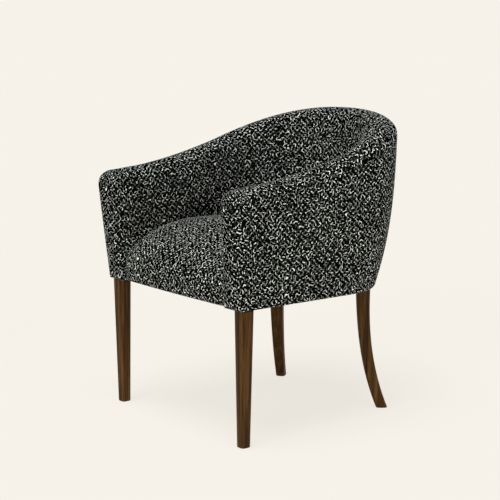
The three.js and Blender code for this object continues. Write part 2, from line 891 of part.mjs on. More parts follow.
lengthwisePlaces().forEach((x, index) => {
  addPiece("web_lengthwise_" + (index + 1), lengthwiseWeb(x, index % 2 === 0), "webbing");
});
crosswisePlaces().forEach((y, index) => {
  addPiece("web_crosswise_" + (index + 1), crosswiseWeb(y, index % 2 === 1), "webbing");
});

// The origin is on the floor, at the middle of the chair's footprint.
const bounds = new THREE.Box3().setFromObject(chair);
const centre = bounds.getCenter(new THREE.Vector3());
chair.position.set(-centre.x, -centre.y, -bounds.min.z);

export default chair;
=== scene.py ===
# %% [markdown]
# # An upholstered tub chair
# The real chair is a beech frame with a bent plywood shell, webbing, foam and a black cloth
# with a fine pale squiggle, on four walnut legs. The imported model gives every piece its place,
# so each new piece is modelled in metres right where it belongs.

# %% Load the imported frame
import bpy
from math import cos, pi, radians, sin, sqrt
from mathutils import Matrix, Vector


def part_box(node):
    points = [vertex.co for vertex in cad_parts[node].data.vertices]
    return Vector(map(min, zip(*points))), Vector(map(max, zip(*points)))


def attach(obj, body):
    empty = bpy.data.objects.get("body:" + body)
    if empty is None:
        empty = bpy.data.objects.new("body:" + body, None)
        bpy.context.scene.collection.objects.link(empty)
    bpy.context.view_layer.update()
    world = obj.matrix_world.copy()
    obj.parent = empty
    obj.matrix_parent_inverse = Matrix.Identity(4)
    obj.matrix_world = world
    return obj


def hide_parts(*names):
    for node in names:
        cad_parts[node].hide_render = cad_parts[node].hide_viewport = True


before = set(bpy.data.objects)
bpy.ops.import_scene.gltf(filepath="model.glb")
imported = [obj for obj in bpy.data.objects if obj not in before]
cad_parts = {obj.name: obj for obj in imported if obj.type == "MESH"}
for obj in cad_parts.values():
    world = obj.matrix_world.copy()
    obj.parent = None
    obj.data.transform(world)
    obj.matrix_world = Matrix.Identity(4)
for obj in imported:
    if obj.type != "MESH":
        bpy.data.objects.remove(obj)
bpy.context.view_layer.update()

# %% [markdown]
# ## The view
# A product picture is taken from far away with a long lens, which keeps the uprights parallel.
# A camera object needs only a place, a turn and a lens, so it is simply added and aimed.

# %% Camera
CAMERA_PLACE, CAMERA_TARGET = (2.7939, -2.2328, 1.0157), (-0.0002, -0.0518, 0.4232)
LENS, SENSOR = 99.6, 36


def aim(thing, target):
    thing.rotation_euler = (Vector(target) - thing.location).to_track_quat("-Z", "Y").to_euler()


bpy.ops.object.camera_add(location=CAMERA_PLACE)
camera = bpy.context.object
camera.name = "product_camera"
camera.data.lens = LENS
camera.data.sensor_width = SENSOR
aim(camera, CAMERA_TARGET)
bpy.context.scene.camera = camera
bpy.context.scene.view_settings.view_transform = "Standard"
print("camera stands", round(camera.location.length, 2), "m from the chair")

# %% [markdown]
# ## Colours and nodes
# Colours are picked on a screen, so they are written as hex and turned to linear light once.
# Every finish below is built from nodes, and one small function adds, sets and links them all.

# %% Colour and node helpers
def paint(code):
    channels = [int(code[i:i + 2], 16) / 255 for i in (1, 3, 5)]
    return (*[c / 12.92 if c <= 0.04045 else ((c + 0.055) / 1.055) ** 2.4 for c in channels], 1)


# A node that is given as an input stands for its first output.
def first_output(value):
    return value.outputs[0] if isinstance(value, bpy.types.Node) else value


def add_node(tree, kind, inputs, **settings):
    added = tree.nodes.new("ShaderNode" + kind)
    for name, value in settings.items():
        setattr(added, name, value)
    for name, value in inputs.items():
        source = first_output(value)
        if isinstance(source, bpy.types.NodeSocket):
            tree.links.new(source, added.inputs[name])
        else:
            added.inputs[name].default_value = source
    return added


def new_finish(name, **sockets):
    finish = bpy.data.materials.new(name)
    finish.use_nodes = True
    shader = finish.node_tree.nodes["Principled BSDF"]
    for socket, value in sockets.items():
        shader.inputs[socket.replace("_", " ")].default_value = value
    return finish, finish.node_tree, shader


def plug(tree, shader, **sockets):
    for socket, value in sockets.items():
        tree.links.new(first_output(value), shader.inputs[socket.replace("_", " ")])


def two_tones(tree, shader, share, dark, light, height, strength, depth):
    tone = add_node(tree, "Mix", {0: share, 6: paint(dark), 7: paint(light)}, data_type="RGBA").outputs[2]
    bump = add_node(tree, "Bump", {"Height": height, "Strength": strength, "Distance": depth})
    plug(tree, shader, Base_Color=tone, Normal=bump)


print("a mid grey is", round(paint("#808080")[0], 3), "in linear light")

# %% [markdown]
# ## The room
# The chair stands on a pale floor that runs without a line into the background. A bent sheet of
# paper is the usual way, but its edges would show from other sides, so the floor is one wide
# disc. The camera sees it glow in the colour of the paper, a little less where the chair keeps
# the lamps off, so a soft shadow stays under the legs.

# %% Background and floor
PAPER = paint("#f6f2e9")
FLOOR_RADIUS = 40
WALL_FILL = 0.07
# The floor glows almost as bright as the paper, and takes this share of its look from the lamps,
# which is where the shadow shows. Together they give the paper's own tone.
FLOOR_SHADE = 0.12
FLOOR_GLOW = 0.9725


def seen_directly(tree):
    rays = add_node(tree, "LightPath", {}).outputs
    seen = add_node(tree, "Math", {0: rays["Is Camera Ray"], 1: rays["Is Glossy Ray"]}, operation="MAXIMUM")
    return add_node(tree, "Math", {0: seen, 1: rays["Is Transmission Ray"]}, operation="MAXIMUM")


world = bpy.data.worlds.new("paper_background")
world.use_nodes = True
bpy.context.scene.world = world
sky = world.node_tree
fill_light = sky.nodes["Background"]
fill_light.inputs["Color"].default_value = (1, 1, 1, 1)
fill_light.inputs["Strength"].default_value = WALL_FILL
paper_light = add_node(sky, "Background", {"Color": PAPER, "Strength": 1})
sky_sides = {0: seen_directly(sky), 1: fill_light, 2: paper_light}
plug(sky, sky.nodes["World Output"], Surface=add_node(sky, "MixShader", sky_sides))

bpy.ops.mesh.primitive_circle_add(vertices=96, radius=FLOOR_RADIUS, fill_type="NGON", location=(0, 0, 0))
floor = bpy.context.object
floor.name = "paper_floor"
matt = {"Base_Color": PAPER, "Roughness": 0.9, "Specular_IOR_Level": 0}
floor_finish, floor_tree, floor_shader = new_finish("seamless_paper", **matt)
lit = add_node(floor_tree, "Emission", {"Color": PAPER, "Strength": FLOOR_GLOW})
shade = add_node(floor_tree, "MixShader", {0: FLOOR_SHADE, 1: lit, 2: floor_shader})
floor_sides = {0: seen_directly(floor_tree), 1: floor_shader, 2: shade}
paper = add_node(floor_tree, "MixShader", floor_sides)
plug(floor_tree, floor_tree.nodes["Material Output"], Surface=paper)
floor.data.materials.append(floor_finish)
print("floor", round(floor.dimensions.x), "m wide")

# %% [markdown]
# ## The light
# The picture has one broad soft lamp overhead, a weaker one low at the front and another at the
# side, and pale walls fill the shadows. The light of an area lamp would fade across the chair,
# so each lamp is a sun with a wide angle, which has the same strength and soft edge everywhere.

# %% Lamps
LAMP_REACH = 4


def add_lamp(name, azimuth, elevation, strength, width):
    bpy.ops.object.light_add(type="SUN")
    lamp = bpy.context.object
    lamp.name = name
    turn, rise = radians(azimuth), radians(elevation)
    lamp.location = Vector((sin(turn) * cos(rise), -cos(turn) * cos(rise), sin(rise))) * LAMP_REACH
    lamp.data.energy = strength
    lamp.data.angle = radians(width)
    aim(lamp, (0, 0, 0))


add_lamp("overhead_softbox", 20, 76, 3.0, 36)
add_lamp("front_softbox", 22, 25, 1.15, 30)
add_lamp("side_softbox", 92, 10, 1.1, 30)
print("lamps", [light.name for light in bpy.data.lights])

# %% [markdown]
# ## Modelling helpers
# A primitive is added, shaped in edit mode and finished with modifiers, as by hand. The
# imported nodes arrive selected, so everything is let go first, or an operator would act on them.

# %% Selecting, shaping and dressing
def let_go():
    bpy.ops.object.select_all(action="DESELECT")


def take(piece):
    let_go()
    piece.select_set(True)
    bpy.context.view_layer.objects.active = piece


def named(name):
    piece = bpy.context.object
    piece.name = piece.data.name = name
    return piece


def own_copy(name, model):
    let_go()
    piece = bpy.data.objects.new(name, model.data.copy())
    piece.data.name = name
    bpy.context.scene.collection.objects.link(piece)
    return piece


def apply_modifier(piece, kind, **settings):
    take(piece)
    modifier = piece.modifiers.new(kind.lower(), kind)
    for name, value in settings.items():
        setattr(modifier, name, value)
    bpy.ops.object.modifier_apply(modifier=modifier.name)


def tidy_shell(piece, closest=0.00002):
    take(piece)
    bpy.ops.object.mode_set(mode="EDIT")
    bpy.ops.mesh.select_all(action="SELECT")
    bpy.ops.mesh.remove_doubles(threshold=closest)
    bpy.ops.mesh.normals_make_consistent(inside=False)
    bpy.ops.object.mode_set(mode="OBJECT")


def smooth(piece, degrees=40):
    take(piece)
    bpy.ops.object.shade_smooth_by_angle(angle=radians(degrees))


def dress(piece, finish, slot, *nodes):
    piece.data.materials.clear()
    piece.data.materials.append(finish)
    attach(piece, "root")
    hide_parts(*nodes)
    print(piece.name, len(piece.data.polygons), "faces, stands for", ", ".join(nodes))


let_go()
print("nothing selected:", not bpy.context.selected_objects)

# %% [markdown]
# ## The form of the tub
# The wall of the tub is one curved band. Seen from above, its two arms are straight and the
# back is a bow, a little squarer than an ellipse. It leans outwards as it rises, and its top
# sweeps up from the arms to the crest. Covers shaped one by one would gape where they meet, so
# a few functions say where any point of the wall lies, in metres, with the front feet on the
# line y = 0, and every cover asks them.

# %% Measures of the tub
LEG_HEIGHT, ARM_TOP, CREST_TOP = 0.336, 0.6256, 0.780
ARM_LENGTH = 0.3235
PAD_BACK = -0.0153
FOAM_BASE = 0.4008
PANEL_BOTTOM = 0.348
ROLL_HEIGHT = 0.0288
EDGE_ROUND = 0.012
BOW_POWER = 2.22
FIRST_STEP = ARM_LENGTH / 5
# Width, depth and wall change with height: first the value at the hem, then the change, then its bend.
HALF_AT_HEM, HALF_FLARE, HALF_BEND = 0.2859, 0.0291, 1.49
BOW_AT_HEM, BOW_FLARE, BOW_BEND = 0.1952, 0.079, 3.54
ARM_THICK, ARM_SLIMMER, ARM_BEND = 0.078, 0.011, 6
BACK_THICK, BACK_GAIN, BACK_BELLY, BELLY_BEND = 0.079, 0.005, 0.020, 0.63
feet_line = (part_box("front_glide_left")[0].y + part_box("front_glide_left")[1].y) / 2


def mix(low, high, share):
    return low + (high - low) * share


def clamp(value):
    return min(max(value, 0), 1)


def climb(level):
    return clamp((level - LEG_HEIGHT) / (CREST_TOP - LEG_HEIGHT))


def half_width(level):
    return HALF_AT_HEM + HALF_FLARE * (1 - (1 - climb(level)) ** HALF_BEND)


def bow_depth(level):
    return BOW_AT_HEM + BOW_FLARE * (1 - (1 - climb(level)) ** BOW_BEND)


def arm_wall(level):
    return ARM_THICK - ARM_SLIMMER * (1 - climb(level)) ** ARM_BEND


def back_wall(level):
    return BACK_THICK + BACK_GAIN * climb(level) + BACK_BELLY * sin(pi * climb(level) ** BELLY_BEND)


def placed(x, y, z):
    return Vector((x, y + feet_line, z))


print("front feet stand at y", round(feet_line, 4))

# %% Points of the tub's wall
# along runs 0 to 1 down the sitter's left arm, 1 to 2 round the back and 2 to 3 up the right arm.
ALONG_END = 3


def plan_point(along, half, bow):
    if 1 <= along <= 2:
        across, depth = cos(pi * (along - 1)), max(sin(pi * (along - 1)), 0)
        reach = abs(across) ** (2 / BOW_POWER)
        return half * (reach if across > 0 else -reach), ARM_LENGTH + bow * depth ** (2 / BOW_POWER)
    side, share = (1, along) if along < 1 else (-1, ALONG_END - along)
    return side * half, mix(PAD_BACK, ARM_LENGTH, share)


# through runs from 0 at the wall's outer face to 1 at its inner face.
def wall_point(along, level, through, inset=0.0, height=None):
    side = inset + (arm_wall(level) - 2 * inset) * through
    back = inset + (back_wall(level) - 2 * inset) * through
    x, y = plan_point(along, half_width(level) - side, bow_depth(level) - back)
    return placed(x, y, level if height is None else height)


# The top rises in a soft curve that is mixed with a little of a straight slope.
TOP_RISE = 0.1544
CURVE_START, CURVE_RUN, CURVE_PART = -0.0257, 0.6234, 0.53
SLOPE_START, SLOPE_RUN, SLOPE_SHARE = -0.0469, 0.6446, 0.16


def eased(share):
    part = CURVE_PART * share
    return part ** 2 * (3 - 2 * part) / (CURVE_PART ** 2 * (3 - 2 * CURVE_PART))


def top_at(y):
    curve = eased(max((y - CURVE_START) / CURVE_RUN, 0))
    slope = max((y - SLOPE_START) / SLOPE_RUN, 0)
    return ARM_TOP + TOP_RISE * mix(curve, slope, SLOPE_SHARE)


def spring_at(along):
    y = plan_point(along, half_width(CREST_TOP), bow_depth(CREST_TOP))[1]
    low, high = top_at(PAD_BACK), top_at(FIRST_STEP)
    top = mix(low, high, clamp((y - PAD_BACK) / (FIRST_STEP - PAD_BACK))) if y < FIRST_STEP else top_at(y)
    return top - ROLL_HEIGHT


print("crest and arm front at", [round(spring_at(along) + ROLL_HEIGHT, 4) for along in (1.5, 0)])

# %% [markdown]
# ## Panels of cloth
# An upholsterer cuts the cloth flat and pulls it over the form. Here a grid is laid over the
# form in the same way, and its UV map keeps the running length in metres along both ways of the
# cloth, so that the woven figure has its real size everywhere.

# %% Lay a panel
def running_length(points):
    lengths = [0.0]
    for before, after in zip(points, points[1:]):
        lengths.append(lengths[-1] + (after - before).length)
    return lengths


def cloth_panel(name, columns, rows, point_at):
    let_go()
    bpy.ops.mesh.primitive_grid_add(x_subdivisions=columns, y_subdivisions=rows, size=1)
    panel = named(name)
    knots = [(round((v.co.x + 0.5) * columns), round((v.co.y + 0.5) * rows)) for v in panel.data.vertices]
    points = [[point_at(c / columns, r / rows) for c in range(columns + 1)] for r in range(rows + 1)]
    weft = running_length(points[rows // 2])
    warp = [running_length(column) for column in zip(*points)]
    cloth = panel.data.uv_layers[0]
    cloth.name = "cloth"
    for loop in panel.data.loops:
        column, row = knots[loop.vertex_index]
        cloth.data[loop.index].uv = (weft[column], warp[column][row])
    for vertex, (column, row) in zip(panel.data.vertices, knots):
        vertex.co = points[row][column]
    return panel


print("a 2 m strip runs", running_length([Vector((0, 0, z)) for z in (0, 1, 2)]))

# %% [markdown]
# ## Cloth over padding
# Padding pushes a cover outwards between its seams. The cloth solver does the same: the seams
# are pinned, a light pressure acts along the normals for twenty frames, and the cloth is a
# little larger than its form. The foam behind it stops every move inwards, and the move
# outwards is eased so that it never reaches its cap.

# %% Let the padding push
PUSH_FRAMES, PRESSURE = 20, 4


def set_cloth(solver, spare):
    solver.quality = 6
    solver.mass = 0.3
    solver.tension_stiffness = solver.compression_stiffness = 15
    solver.shear_stiffness = 5
    solver.bending_stiffness = 0.6
    solver.use_pressure = True
    solver.uniform_pressure_force = PRESSURE
    solver.shrink_min = -spare
    solver.effector_weights.gravity = 0


def pad_out(piece, seam, cap, spare, limit=lambda point: point):
    before = [(vertex.co.copy(), vertex.normal.copy()) for vertex in piece.data.vertices]
    pinned = piece.vertex_groups.new(name="seam")
    pinned.add([vertex.index for vertex in piece.data.vertices if seam(vertex.co)], 1.0, "REPLACE")
    take(piece)
    cloth = piece.modifiers.new("padding", "CLOTH")
    set_cloth(cloth.settings, spare)
    cloth.settings.vertex_group_mass = pinned.name
    cloth.collision_settings.use_collision = False
    for number in range(1, PUSH_FRAMES + 1):
        bpy.context.scene.frame_set(number)
    bpy.ops.object.modifier_apply(modifier=cloth.name)
    bpy.context.scene.frame_set(1)
    furthest = 0
    for vertex, (place, outward) in zip(piece.data.vertices, before):
        move = vertex.co - place
        move -= outward * min(move.dot(outward), 0)
        vertex.co = limit(place + move / (1 + move.length / cap))
        furthest = max(furthest, (vertex.co - place).length)
    piece.vertex_groups.remove(piece.vertex_groups["seam"])
    print(piece.name, len(before), "points, moved up to", round(furthest, 4), "m")


print("the padding pushes for", PUSH_FRAMES, "frames")

# %% [markdown]
# ## The squiggle cloth
# The cover is a black jacquard with short pale squiggles of uneven brightness, about two
# millimetres thick. Noise that is cut at one level gives blots, not strokes of one width, so
# the strokes are drawn. Each square of a warped grid holds two quarter arcs in one of two turns,
# which join into wandering strokes, and random gaps at the squares' edges break them up.

# %% Figure of the cloth
CELL = 0.0099
STROKE, STROKE_EDGE = 0.00088, 0.00015
WANDER, WANDER_SIZE = 0.0105, 0.0128
BROKEN, GAP = 0.72, 0.27
FAINTEST, CONTRAST = 0.02, 2.3
# The grid is turned against the threads. The last three numbers only keep the random draws apart.
BIAS = radians(40)
LUCK, UPRIGHT, LEVEL = 5.0, 3.0, 7.0


def wandering_squares(tree, cloth):
    bias = add_node(tree, "VectorRotate", {"Vector": cloth, "Angle": BIAS}, rotation_type="Z_AXIS")
    drift = add_node(tree, "TexNoise", {"Vector": cloth, "Scale": 1 / WANDER_SIZE, "Detail": 0.0})
    middle = {0: drift.outputs["Color"], 1: (0.5, 0.5, 0.5)}
    push = add_node(tree, "VectorMath", middle, operation="SUBTRACT")
    wander = add_node(tree, "VectorMath", {0: push, "Scale": WANDER / CELL}, operation="SCALE")
    square = add_node(tree, "VectorMath", {0: bias, "Scale": 1 / CELL}, operation="SCALE")
    return add_node(tree, "VectorMath", {0: square, 1: wander}, operation="ADD")


def arcs(tree, place):
    tile = add_node(tree, "VectorMath", {0: place}, operation="FLOOR")
    fraction = add_node(tree, "VectorMath", {0: place}, operation="FRACTION")
    centred = add_node(tree, "VectorMath", {0: fraction, 1: (0.5, 0.5, 0)}, operation="SUBTRACT")
    chance = add_node(tree, "TexWhiteNoise", {"Vector": tile})
    level = add_node(tree, "Math", {0: chance, 1: 0.5}, operation="SUBTRACT")
    turn = add_node(tree, "Math", {0: level}, operation="SIGN")
    turns = add_node(tree, "CombineXYZ", {0: turn, 1: 1.0})
    turned = add_node(tree, "VectorMath", {0: centred, 1: turns}, operation="MULTIPLY")
    diagonal = {0: turned, 1: (1, 1, 0)}
    lean = add_node(tree, "VectorMath", diagonal, operation="DOT_PRODUCT").outputs["Value"]
    corner = add_node(tree, "Math", {0: lean}, operation="SIGN")
    folded = add_node(tree, "VectorMath", {0: turned, "Scale": corner}, operation="SCALE")
    from_corner = {0: folded, 1: (0.5, 0.5, 0)}
    reach = add_node(tree, "VectorMath", from_corner, operation="DISTANCE").outputs["Value"]
    off = add_node(tree, "Math", {0: reach, 1: 0.5}, operation="SUBTRACT")
    away = add_node(tree, "Math", {0: off}, operation="ABSOLUTE")
    luck = add_node(tree, "TexWhiteNoise", {"Vector": tile, "W": LUCK}, noise_dimensions="4D")
    uneven = add_node(tree, "Math", {0: luck, 1: 0.5}, operation="SUBTRACT")
    tone = add_node(tree, "Math", {0: uneven, 1: corner, 2: 0.5}, operation="MULTIPLY_ADD")
    return tile, away, tone


print("squares of", CELL * 1000, "mm")

# %% Gaps in the strokes
def gap_on(tree, across, ids):
    chance = add_node(tree, "TexWhiteNoise", {"Vector": ids})
    width = add_node(tree, "MapRange", {0: chance, 1: 0.0, 2: BROKEN, 3: GAP, 4: 0.0})
    return add_node(tree, "Math", {0: across, 1: width}, operation="GREATER_THAN")


def unbroken(tree, place, tile):
    half_on = add_node(tree, "VectorMath", {0: place, 1: (0.5, 0.5, 0)}, operation="ADD")
    nearest = add_node(tree, "VectorMath", {0: half_on}, operation="FLOOR")
    offset = add_node(tree, "VectorMath", {0: place, 1: nearest}, operation="SUBTRACT")
    apart = add_node(tree, "VectorMath", {0: offset}, operation="ABSOLUTE")
    edge, square, gap = [add_node(tree, "SeparateXYZ", {0: v}) for v in (nearest, tile, apart)]
    upright = add_node(tree, "CombineXYZ", {0: edge.outputs[0], 1: square.outputs[1], 2: UPRIGHT})
    level = add_node(tree, "CombineXYZ", {0: square.outputs[0], 1: edge.outputs[1], 2: LEVEL})
    first, second = gap_on(tree, gap.outputs[0], upright), gap_on(tree, gap.outputs[1], level)
    return add_node(tree, "Math", {0: first, 1: second}, operation="MULTIPLY")


def squiggle(tree, cloth):
    place = wandering_squares(tree, cloth)
    tile, away, tone = arcs(tree, place)
    edges = {0: away, 1: STROKE / CELL, 2: (STROKE + STROKE_EDGE) / CELL, 3: 1.0, 4: 0.0}
    line = add_node(tree, "MapRange", edges, interpolation_type="SMOOTHSTEP")
    kept = add_node(tree, "Math", {0: line, 1: unbroken(tree, place, tile)}, operation="MULTIPLY")
    steep = add_node(tree, "Math", {0: tone, 1: CONTRAST}, operation="POWER")
    bright = add_node(tree, "MapRange", {0: steep, 3: FAINTEST, 4: 1.0})
    return kept, add_node(tree, "Math", {0: kept, 1: bright}, operation="MULTIPLY")


print("strokes", (2 * STROKE + STROKE_EDGE) * 1000, "mm wide")

# %% Cloth finish
# A wool and viscose jacquard, dyed black with a pale figure. It is matt, so it has no gloss, and
# its short nap catches the light where the cloth turns away. The pale strokes carry painted
# glints: flecks of painted highlight and dimmer spots. The threads are finer than a pixel of the product
# picture and show in a close view.
GROUND, YARN = paint("#030403"), paint("#f4faf2")
WEAVE = 0.0011
STROKE_RISE, THREAD_RISE = 0.6, 0.2
# Painted glints: flecks of this size make the pale strokes duller and brighter, between these two bounds.
GLINT_FLECK, DULLEST, BRIGHTEST = 0.0036, 0.2, 2.5


def weave_height(tree, cloth):
    thread = {"Vector": cloth, "Scale": pi / 10 / WEAVE, "Distortion": 0.6, "Detail": 1.0}
    ribs = [add_node(tree, "TexWave", thread, bands_direction=way).outputs["Fac"] for way in "XY"]
    return add_node(tree, "Math", {0: ribs[0], 1: ribs[1]}, operation="MULTIPLY")


def weave_squiggle_cloth():
    nap = {"Roughness": 0.9, "Specular_IOR_Level": 0, "Sheen_Weight": 0.55, "Sheen_Roughness": 0.1}
    finish, tree, shader = new_finish("squiggle_jacquard", **nap)
    cloth = add_node(tree, "UVMap", {}, uv_map="cloth")
    raised, ink = squiggle(tree, cloth)
    # Painted glints: noise in small flecks brightens and dims the pale strokes, standing in for highlights
    # on the yarn.
    knots = add_node(tree, "TexNoise", {"Vector": cloth, "Scale": 1 / GLINT_FLECK, "Detail": 2.0})
    glint_tone = add_node(tree, "MapRange", {0: knots, 1: 0.35, 2: 0.65, 3: DULLEST, 4: BRIGHTEST})
    yarn = add_node(tree, "Math", {0: ink, 1: glint_tone}, operation="MULTIPLY", use_clamp=True)
    colour = add_node(tree, "Mix", {0: yarn, 6: GROUND, 7: YARN}, data_type="RGBA").outputs[2]
    strokes = add_node(tree, "Math", {0: raised, 1: STROKE_RISE}, operation="MULTIPLY")
    threads = {0: weave_height(tree, cloth), 1: THREAD_RISE, 2: strokes}
    height = add_node(tree, "Math", threads, operation="MULTIPLY_ADD")
    bump = add_node(tree, "Bump", {"Height": height, "Strength": 0.5, "Distance": 0.0006})
    plug(tree, shader, Base_Color=colour, Normal=bump)
    return finish


squiggle_cloth = weave_squiggle_cloth()
print(squiggle_cloth.name, len(squiggle_cloth.node_tree.nodes), "nodes")

# %% Cut edges and dressing of a cover
CLOTH = 0.0022


def finish_cover(panel, node):
    apply_modifier(panel, "SOLIDIFY", thickness=CLOTH, offset=-1, use_even_offset=True)
    corners = {"limit_method": "ANGLE", "angle_limit": radians(50)}
    apply_modifier(panel, "BEVEL", width=CLOTH * 0.4, segments=2, **corners)
    smooth(panel, 60)
    dress(panel, squiggle_cloth, "upholstery", node)


print("covers are", CLOTH * 1000, "mm thick")

# %% [markdown]
# ## Outside cover
# One long panel runs from arm front to arm front round the outside. It is turned in under the
# seat rails and ends below the roll, where it is sewn blind to the inside cover. The packed
# solid has uneven triangles, on which a woven figure would stretch, so the panel is laid anew
# as an even grid. Its rows follow the wall upwards, and the first few go round the lower edge.

# %% Outside cover panel
HEM = 0.020
HEM_SHARE, EDGE_SHARE = 0.1, 0.25


def outside_line(along, share):
    spring = spring_at(along)
    if share < HEM_SHARE:
        return wall_point(along, PANEL_BOTTOM, 0, mix(HEM, EDGE_ROUND, share / HEM_SHARE), LEG_HEIGHT)
    if share < EDGE_SHARE:
        angle = (share - HEM_SHARE) / (EDGE_SHARE - HEM_SHARE) * pi / 2
        inset = EDGE_ROUND * (1 - sin(angle))
        return wall_point(along, PANEL_BOTTOM, 0, inset, PANEL_BOTTOM - EDGE_ROUND * cos(angle))
    return wall_point(along, mix(PANEL_BOTTOM, spring, (share - EDGE_SHARE) / (1 - EDGE_SHARE)), 0)


outside = cloth_panel("outer_cover_cloth", 216, 64, lambda s, t: outside_line(ALONG_END * s, t))
finish_cover(outside, "outer_cover")

# %% [markdown]
# ## Inside cover
# The inside cover starts behind the cushion, climbs the inside of the arms and back, goes over
# the roll and ends just below it outside. It is laid like the outside cover, but the padding
# behind it swells more in the middle than at the seams, which the cloth solver finds by itself.

# %% Inside cover panel
ROLL_SHARE = 0.65
ABOVE_SEAM = 0.0003
BEHIND_SEAT, SEAM_BAND = 0.500, 0.004


def inside_line(along, share):
    spring = spring_at(along)
    if share < ROLL_SHARE:
        return wall_point(along, mix(FOAM_BASE, spring, share / ROLL_SHARE), 1)
    angle = (share - ROLL_SHARE) / (1 - ROLL_SHARE) * pi
    through, rise = (1 + cos(angle)) / 2, (ROLL_HEIGHT - ABOVE_SEAM) * sin(angle)
    return wall_point(along, spring, through, 0, spring + ABOVE_SEAM + rise)


# The cover is held behind the seat, along the arm fronts and over the whole roll.
def inside_seam(point):
    at_front = point.y < feet_line + SEAM_BAND
    on_roll = point.z > top_at(point.y - feet_line) - ROLL_HEIGHT - SEAM_BAND
    return point.z < BEHIND_SEAT or at_front or on_roll


inside = cloth_panel("inner_cover_cloth", 216, 84, lambda s, t: inside_line(ALONG_END * (1 - s), t))
pad_out(inside, inside_seam, cap=0.005, spare=0.006)
finish_cover(inside, "inner_cover")

# %% [markdown]
# ## Seat cover
# The seat is sprung on webbing and crowned in the middle. Its cover starts under the front
# rail, climbs the front edge and falls softly into the seat, and its sides and back are
# pulled down between the cushion and the tub, which leaves a rounded edge all round. A bevelled
# box would look like a loose cushion, so the panel is laid along the way that the cloth takes.

# %% Lines of the seat
SEAT_TOP = 0.484
SEAT_GAP = 0.0012
SEAT_FRONT, FRONT_SWELL, FRONT_TURN_IN = 0.018, 0.004, 0.022
SEAT_CROWN, CROWN_BEND, BACK_FALL = 0.0205, 2.4, 0.007
FALL_RUN, FALL_RISE, FALL_BEND = 0.185, 0.080, 1.25
FRONT_STEPS, RISER_STEPS, FALL_STEPS, TOP_STEPS = 8, 8, 40, 24
BORDER = 4


def seat_half(level):
    return half_width(min(level, SEAT_TOP)) - arm_wall(min(level, SEAT_TOP)) - SEAT_GAP


def seat_back(reach, level):
    bow = bow_depth(min(level, SEAT_TOP)) - back_wall(min(level, SEAT_TOP)) - SEAT_GAP
    return ARM_LENGTH + bow * (1 - abs(reach) ** BOW_POWER) ** (1 / BOW_POWER)


def seat_profile(reach):
    front = -(SEAT_FRONT + FRONT_SWELL * (1 - reach * reach))
    crown = SEAT_CROWN * (1 - abs(reach) ** CROWN_BEND)
    line = [(front + FRONT_TURN_IN, LEG_HEIGHT)]
    for step in range(FRONT_STEPS + 1):
        angle = step / FRONT_STEPS * pi / 2
        line.append((front + EDGE_ROUND * (1 - sin(angle)), PANEL_BOTTOM - EDGE_ROUND * cos(angle)))
    low = SEAT_TOP - FALL_RISE
    line += [(front, mix(PANEL_BOTTOM, low, step / RISER_STEPS)) for step in range(1, RISER_STEPS)]
    for step in range(FALL_STEPS + 1):
        angle = step / FALL_STEPS * pi / 2
        rise = FALL_RISE * sin(angle) ** FALL_BEND + crown * sin(angle) ** 2
        line.append((front + FALL_RUN * (1 - cos(angle) ** FALL_BEND), low + rise))
    start, back = front + FALL_RUN, seat_back(reach, SEAT_TOP)
    for share in [step / TOP_STEPS for step in range(1, TOP_STEPS + 1)]:
        line.append((mix(start, back, share), SEAT_TOP + crown - BACK_FALL * share ** 2))
    return [Vector((0, y, z)) for y, z in line]


print("seat", round(2 * seat_half(SEAT_TOP), 4), "m wide at the top")

# %% Places on the seat
def on_line(line, share):
    lengths = running_length(line)
    wanted = share * lengths[-1]
    step = max(i for i in range(len(line) - 1) if lengths[i] <= wanted + 1e-9)
    part = (wanted - lengths[step]) / max(lengths[step + 1] - lengths[step], 1e-9)
    heading = (line[min(step + 2, len(line) - 1)] - line[max(step - 1, 0)]).normalized()
    return line[step].lerp(line[step + 1], clamp(part)), Vector((0, -heading.z, heading.y))


WELL_INSIDE = 0.3


def to_outline(reach, y, level):
    bow = seat_back(0, level) - ARM_LENGTH
    deep = max(y - ARM_LENGTH, 0) / bow
    size = (abs(reach) ** BOW_POWER + deep ** BOW_POWER) ** (1 / BOW_POWER)
    if size < WELL_INSIDE:
        return 1.0
    across = (abs(reach) / size) ** (BOW_POWER - 1) / seat_half(level)
    along = (deep / size) ** (BOW_POWER - 1) / bow
    return max(1 - size, 0) / sqrt(across ** 2 + along ** 2)


print("middle of the seat cover", on_line(seat_profile(0), 0.5)[0])

# %% Points of the seat cover
# The tucked edge is rounded and pulled down less where the front rail holds the cover firmly.
HEM_PULL, SIDE_PULL = 0.001, 0.022
RAIL_ROUND, FRONT_ROUND, SIDE_ROUND = 0.0005, 0.0025, 0.013
RAIL_LEVEL, RAIL_BAND, FOAM_LEVEL, FOAM_BAND = 0.340, 0.02, 0.400, 0.04
EVEN_SHARE, BACK_CROWDING = 0.15, 1.4
BACK_FROM = 0.15


def seat_point(column, row, columns, rows):
    share = clamp((column - BORDER) / (columns - 2 * BORDER)) * 2 - 1
    reach = EVEN_SHARE * share + (1 - EVEN_SHARE) * sin(pi * share / 2)
    tuck = max(BORDER - column, column - columns + BORDER, row - rows + BORDER, 0) / BORDER
    line = seat_lines.setdefault(round(reach, 9), seat_profile(reach))
    here = min(row / (rows - BORDER), 1)
    point, outward = on_line(line, 1 - (1 - here) ** BACK_CROWDING)
    soft = clamp((point.z - FOAM_LEVEL) / FOAM_BAND)
    above_rail = clamp((point.z - RAIL_LEVEL) / RAIL_BAND)
    round_off = mix(RAIL_ROUND, mix(FRONT_ROUND, SIDE_ROUND, soft), above_rail)
    short = max(round_off - to_outline(reach, point.y, point.z), 0)
    drop = round_off - sqrt(max(round_off ** 2 - short ** 2, 0)) + tuck * mix(HEM_PULL, SIDE_PULL, soft)
    sunk = point - outward * drop
    if point.y > BACK_FROM:
        sunk.y = min(sunk.y, seat_back(reach, sunk.z))
    return placed(reach * seat_half(sunk.z), sunk.y, sunk.z)


SIDE_BAND, BACK_BAND, FRONT_HELD = 0.001, 0.002, 0.352


